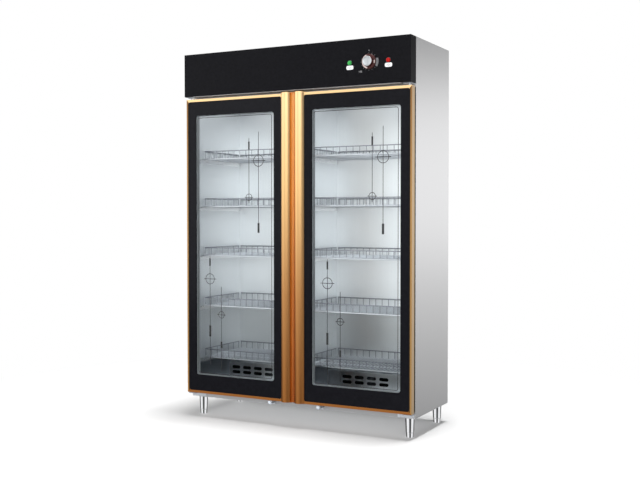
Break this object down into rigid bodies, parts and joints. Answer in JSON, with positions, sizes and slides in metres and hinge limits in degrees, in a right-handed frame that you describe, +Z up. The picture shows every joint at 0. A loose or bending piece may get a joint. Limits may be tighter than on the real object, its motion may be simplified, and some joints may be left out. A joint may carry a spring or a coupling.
{
  "type": "dish sterilizer cabinet",
  "caption": "Tall double-door stainless dish sterilizer cabinet with glazed gold-framed doors, black header with timer and lamps, wire shelves, hot-air ducts and bullet feet.",
  "frame": {"origin": "on the floor, under the middle of the cabinet's width and of its whole depth, timer knob included", "axes": "+X to the cabinet's right as its user sees it, +Y from the doors to the back, +Z up"},
  "size_m": [1.31, 0.55, 1.95],
  "materials": {
    "stainless": "satin",
    "galvanised": "matte",
    "polished_steel": "polished",
    "insulation": "matte",
    "black_panel": "gloss",
    "green_lens": "gloss",
    "red_lens": "gloss",
    "black_plastic": "satin",
    "grey_plastic": "satin",
    "motor_paint": "satin",
    "heater_steel": "satin",
    "plated_steel": "satin",
    "chrome_steel": "polished",
    "silver_knob": "gloss",
    "gold_aluminium": "satin",
    "door_glass": "gloss",
    "black_aluminium": "satin",
    "gasket_rubber": "matte",
    "white_nylon": "satin",
    "shelf_wire": "polished"
  },
  "bodies": {
    "cabinet": {"side_panel_left": "stainless", "side_panel_right": "stainless", "top_panel": "stainless", "back_panel": "galvanised", "base_pan": "galvanised", "bottom_rail": "stainless", "equipment_deck": "stainless", "centre_mullion": "stainless", "liner_walls": "polished_steel", "liner_backs": "polished_steel", "liner_decks": "polished_steel", "insulation_slabs": "insulation", "header_panel": "black_panel", "green_lamp": "green_lens", "red_lamp": "red_lens", "timer_body": "black_plastic", "timer_dial": "black_plastic", "switchgear": "grey_plastic", "cable_gland": "black_plastic", "duct_covers": "polished_steel", "fan_motors": "motor_paint", "heater_tubes": "heater_steel", "shelf_runners": "stainless", "door_brackets": "plated_steel", "hinge_screws": "plated_steel", "leg_sleeves": "chrome_steel"},
    "left_door": {"left_door_hinge_stile": "gold_aluminium", "left_door_rails": "gold_aluminium", "left_door_handle_stile": "gold_aluminium", "left_door_glass": "door_glass", "left_door_inner_frame": "black_aluminium", "left_door_gasket": "gasket_rubber", "left_door_bushes": "grey_plastic"},
    "right_door": {"right_door_hinge_stile": "gold_aluminium", "right_door_rails": "gold_aluminium", "right_door_handle_stile": "gold_aluminium", "right_door_glass": "door_glass", "right_door_inner_frame": "black_aluminium", "right_door_gasket": "gasket_rubber", "right_door_bushes": "grey_plastic"},
    "timer_knob": {"timer_knob": "silver_knob"},
    "left_fan_wheel": {"left_fan_wheel": "galvanised"},
    "left_support_roller": {"left_support_roller": "white_nylon"},
    "right_fan_wheel": {"right_fan_wheel": "galvanised"},
    "right_support_roller": {"right_support_roller": "white_nylon"},
    "left_shelf_1": {"left_shelf_1": "shelf_wire"},
    "left_shelf_2": {"left_shelf_2": "shelf_wire"},
    "left_shelf_3": {"left_shelf_3": "shelf_wire"},
    "left_shelf_4": {"left_shelf_4": "shelf_wire"},
    "left_shelf_5": {"left_shelf_5": "shelf_wire"},
    "right_shelf_1": {"right_shelf_1": "shelf_wire"},
    "right_shelf_2": {"right_shelf_2": "shelf_wire"},
    "right_shelf_3": {"right_shelf_3": "shelf_wire"},
    "right_shelf_4": {"right_shelf_4": "shelf_wire"},
    "right_shelf_5": {"right_shelf_5": "shelf_wire"},
    "front_left_foot": {"front_left_foot": "chrome_steel"},
    "front_right_foot": {"front_right_foot": "chrome_steel"},
    "back_left_foot": {"back_left_foot": "chrome_steel"},
    "back_right_foot": {"back_right_foot": "chrome_steel"}
  },
  "joints": [
    {"name": "left_door_hinge", "type": "hinge", "parent": "cabinet", "child": "left_door", "pos_m": [-0.637, -0.214, 0.92], "axis": [0, 0, -1], "range_deg": [0, 110]},
    {"name": "right_door_hinge", "type": "hinge", "parent": "cabinet", "child": "right_door", "pos_m": [0.637, -0.214, 0.92], "axis": [0, 0, 1], "range_deg": [0, 110]},
    {"name": "timer_turn", "type": "hinge", "parent": "cabinet", "child": "timer_knob", "pos_m": [0.437, -0.262, 1.836], "axis": [0, 1, 0], "range_deg": [0, 300]},
    {"name": "left_fan_spin", "type": "hinge", "parent": "cabinet", "child": "left_fan_wheel", "pos_m": [-0.501, 0.181, 0.208], "axis": [1, 0, 0], "continuous": true},
    {"name": "right_fan_spin", "type": "hinge", "parent": "cabinet", "child": "right_fan_wheel", "pos_m": [0.134, 0.181, 0.208], "axis": [1, 0, 0], "continuous": true},
    {"name": "left_roller_spin", "type": "hinge", "parent": "cabinet", "child": "left_support_roller", "pos_m": [-0.142, -0.213, 0.1162], "axis": [1, 0, 0], "continuous": true},
    {"name": "right_roller_spin", "type": "hinge", "parent": "cabinet", "child": "right_support_roller", "pos_m": [0.142, -0.213, 0.1162], "axis": [1, 0, 0], "continuous": true},
    {"name": "left_shelf_1_slide", "type": "slide", "parent": "cabinet", "child": "left_shelf_1", "axis": [0, -1, 0], "range_m": [0, 0.045]},
    {"name": "left_shelf_2_slide", "type": "slide", "parent": "cabinet", "child": "left_shelf_2", "axis": [0, -1, 0], "range_m": [0, 0.045]},
    {"name": "left_shelf_3_slide", "type": "slide", "parent": "cabinet", "child": "left_shelf_3", "axis": [0, -1, 0], "range_m": [0, 0.045]},
    {"name": "left_shelf_4_slide", "type": "slide", "parent": "cabinet", "child": "left_shelf_4", "axis": [0, -1, 0], "range_m": [0, 0.045]},
    {"name": "left_shelf_5_slide", "type": "slide", "parent": "cabinet", "child": "left_shelf_5", "axis": [0, -1, 0], "range_m": [0, 0.045]},
    {"name": "right_shelf_1_slide", "type": "slide", "parent": "cabinet", "child": "right_shelf_1", "axis": [0, -1, 0], "range_m": [0, 0.045]},
    {"name": "right_shelf_2_slide", "type": "slide", "parent": "cabinet", "child": "right_shelf_2", "axis": [0, -1, 0], "range_m": [0, 0.045]},
    {"name": "right_shelf_3_slide", "type": "slide", "parent": "cabinet", "child": "right_shelf_3", "axis": [0, -1, 0], "range_m": [0, 0.045]},
    {"name": "right_shelf_4_slide", "type": "slide", "parent": "cabinet", "child": "right_shelf_4", "axis": [0, -1, 0], "range_m": [0, 0.045]},
    {"name": "right_shelf_5_slide", "type": "slide", "parent": "cabinet", "child": "right_shelf_5", "axis": [0, -1, 0], "range_m": [0, 0.045]},
    {"name": "front_left_foot_adjust", "type": "slide", "parent": "cabinet", "child": "front_left_foot", "axis": [0, 0, -1], "range_m": [0, 0.02]},
    {"name": "front_right_foot_adjust", "type": "slide", "parent": "cabinet", "child": "front_right_foot", "axis": [0, 0, -1], "range_m": [0, 0.02]},
    {"name": "back_left_foot_adjust", "type": "slide", "parent": "cabinet", "child": "back_left_foot", "axis": [0, 0, -1], "range_m": [0, 0.02]},
    {"name": "back_right_foot_adjust", "type": "slide", "parent": "cabinet", "child": "back_right_foot", "axis": [0, 0, -1], "range_m": [0, 0.02]}
  ]
}
